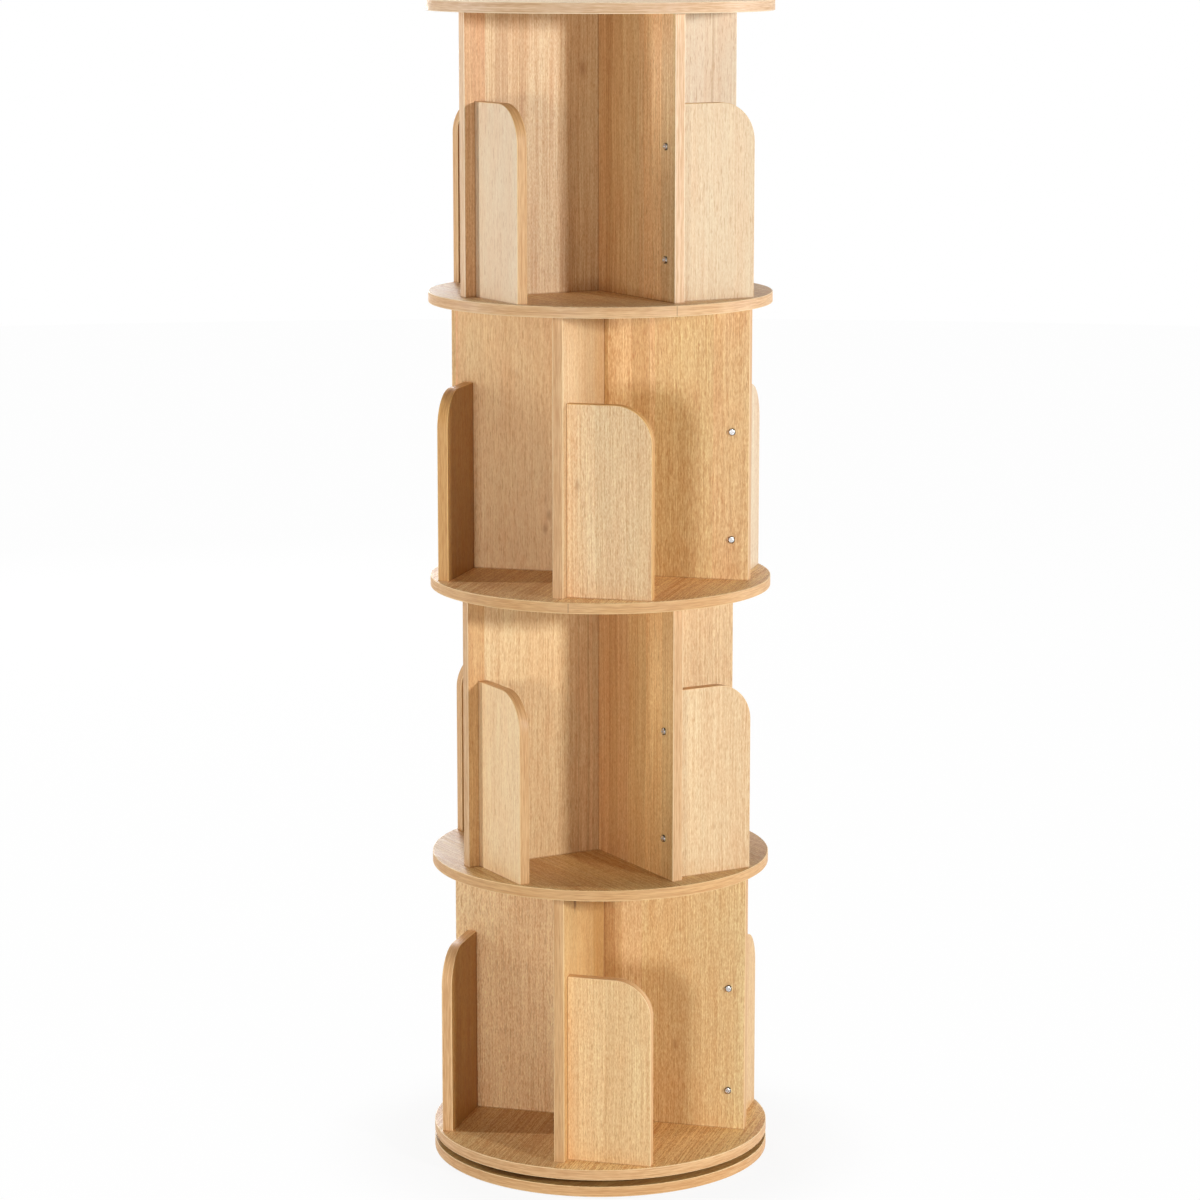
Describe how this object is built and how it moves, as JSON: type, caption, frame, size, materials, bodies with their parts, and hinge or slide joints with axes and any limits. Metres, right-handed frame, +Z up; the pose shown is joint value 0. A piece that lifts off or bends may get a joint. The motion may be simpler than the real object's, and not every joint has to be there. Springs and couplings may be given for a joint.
{
  "type": "revolving bookcase",
  "caption": "Floor-standing revolving bookcase: round shelves, crossed upright panels and rounded stop boards in tiers, turning together on a ball bearing over a round base.",
  "frame": {"origin": "on the floor under the middle of the base", "axes": "+Z up along the turning axis; the lowest tier's wings lie along X and Y"},
  "size_m": [0.3799, 0.38, 1.3005],
  "materials": {
    "oak_board": "satin light oak",
    "dowel_wood": "plain beech",
    "chrome_screw": "bright",
    "zinc_screw": "zinc plated",
    "bearing_plate": "zinc plated",
    "bearing_ball": "polished",
    "cage_plastic": "natural nylon",
    "pad_rubber": "matt black"
  },
  "bodies": {
    "base": {"base_disc": "oak_board", "foot_pads": "pad_rubber", "bearing_lower_plate": "bearing_plate", "bearing_lower_screws": "zinc_screw"},
    "ball_ring": {"ball_cage": "cage_plastic", "bearing_balls": "bearing_ball"},
    "tower": {"bearing_upper_plate": "bearing_plate", "bearing_upper_screws": "zinc_screw", "turntable_shelf": "oak_board", "round_shelf_2": "oak_board", "round_shelf_3": "oak_board", "round_shelf_4": "oak_board", "top_disc": "oak_board", "tier_1_through_panel": "oak_board", "tier_1_wing_panel_1": "oak_board", "tier_1_wing_panel_2": "oak_board", "tier_1_stop_board_1": "oak_board", "tier_1_stop_board_2": "oak_board", "tier_1_stop_board_3": "oak_board", "tier_1_stop_board_4": "oak_board", "tier_1_stop_screws": "chrome_screw", "tier_1_shelf_screws": "zinc_screw", "tier_1_panel_dowels": "dowel_wood", "tier_1_cross_dowels": "dowel_wood", "tier_2_through_panel": "oak_board", "tier_2_wing_panel_1": "oak_board", "tier_2_wing_panel_2": "oak_board", "tier_2_stop_board_1": "oak_board", "tier_2_stop_board_2": "oak_board", "tier_2_stop_board_3": "oak_board", "tier_2_stop_board_4": "oak_board", "tier_2_stop_screws": "chrome_screw", "tier_2_shelf_screws": "zinc_screw", "tier_2_panel_dowels": "dowel_wood", "tier_2_cross_dowels": "dowel_wood", "tier_3_through_panel": "oak_board", "tier_3_wing_panel_1": "oak_board", "tier_3_wing_panel_2": "oak_board", "tier_3_stop_board_1": "oak_board", "tier_3_stop_board_2": "oak_board", "tier_3_stop_board_3": "oak_board", "tier_3_stop_board_4": "oak_board", "tier_3_stop_screws": "chrome_screw", "tier_3_shelf_screws": "zinc_screw", "tier_3_panel_dowels": "dowel_wood", "tier_3_cross_dowels": "dowel_wood", "tier_4_through_panel": "oak_board", "tier_4_wing_panel_1": "oak_board", "tier_4_wing_panel_2": "oak_board", "tier_4_stop_board_1": "oak_board", "tier_4_stop_board_2": "oak_board", "tier_4_stop_board_3": "oak_board", "tier_4_stop_board_4": "oak_board", "tier_4_stop_screws": "chrome_screw", "tier_4_shelf_screws": "zinc_screw", "tier_4_panel_dowels": "dowel_wood", "tier_4_cross_dowels": "dowel_wood"}
  },
  "joints": [
    {"name": "tower_spin", "type": "hinge", "parent": "base", "child": "tower", "pos_m": [0, 0, 0.017], "axis": [0, 0, 1], "continuous": true},
    {"name": "ball_ring_roll", "type": "hinge", "parent": "base", "child": "ball_ring", "pos_m": [0, 0, 0.017], "axis": [0, 0, 1], "continuous": true}
  ],
  "couplings": [
    {"joint": "ball_ring_roll", "follows": "tower_spin", "ratio": 0.5}
  ]
}
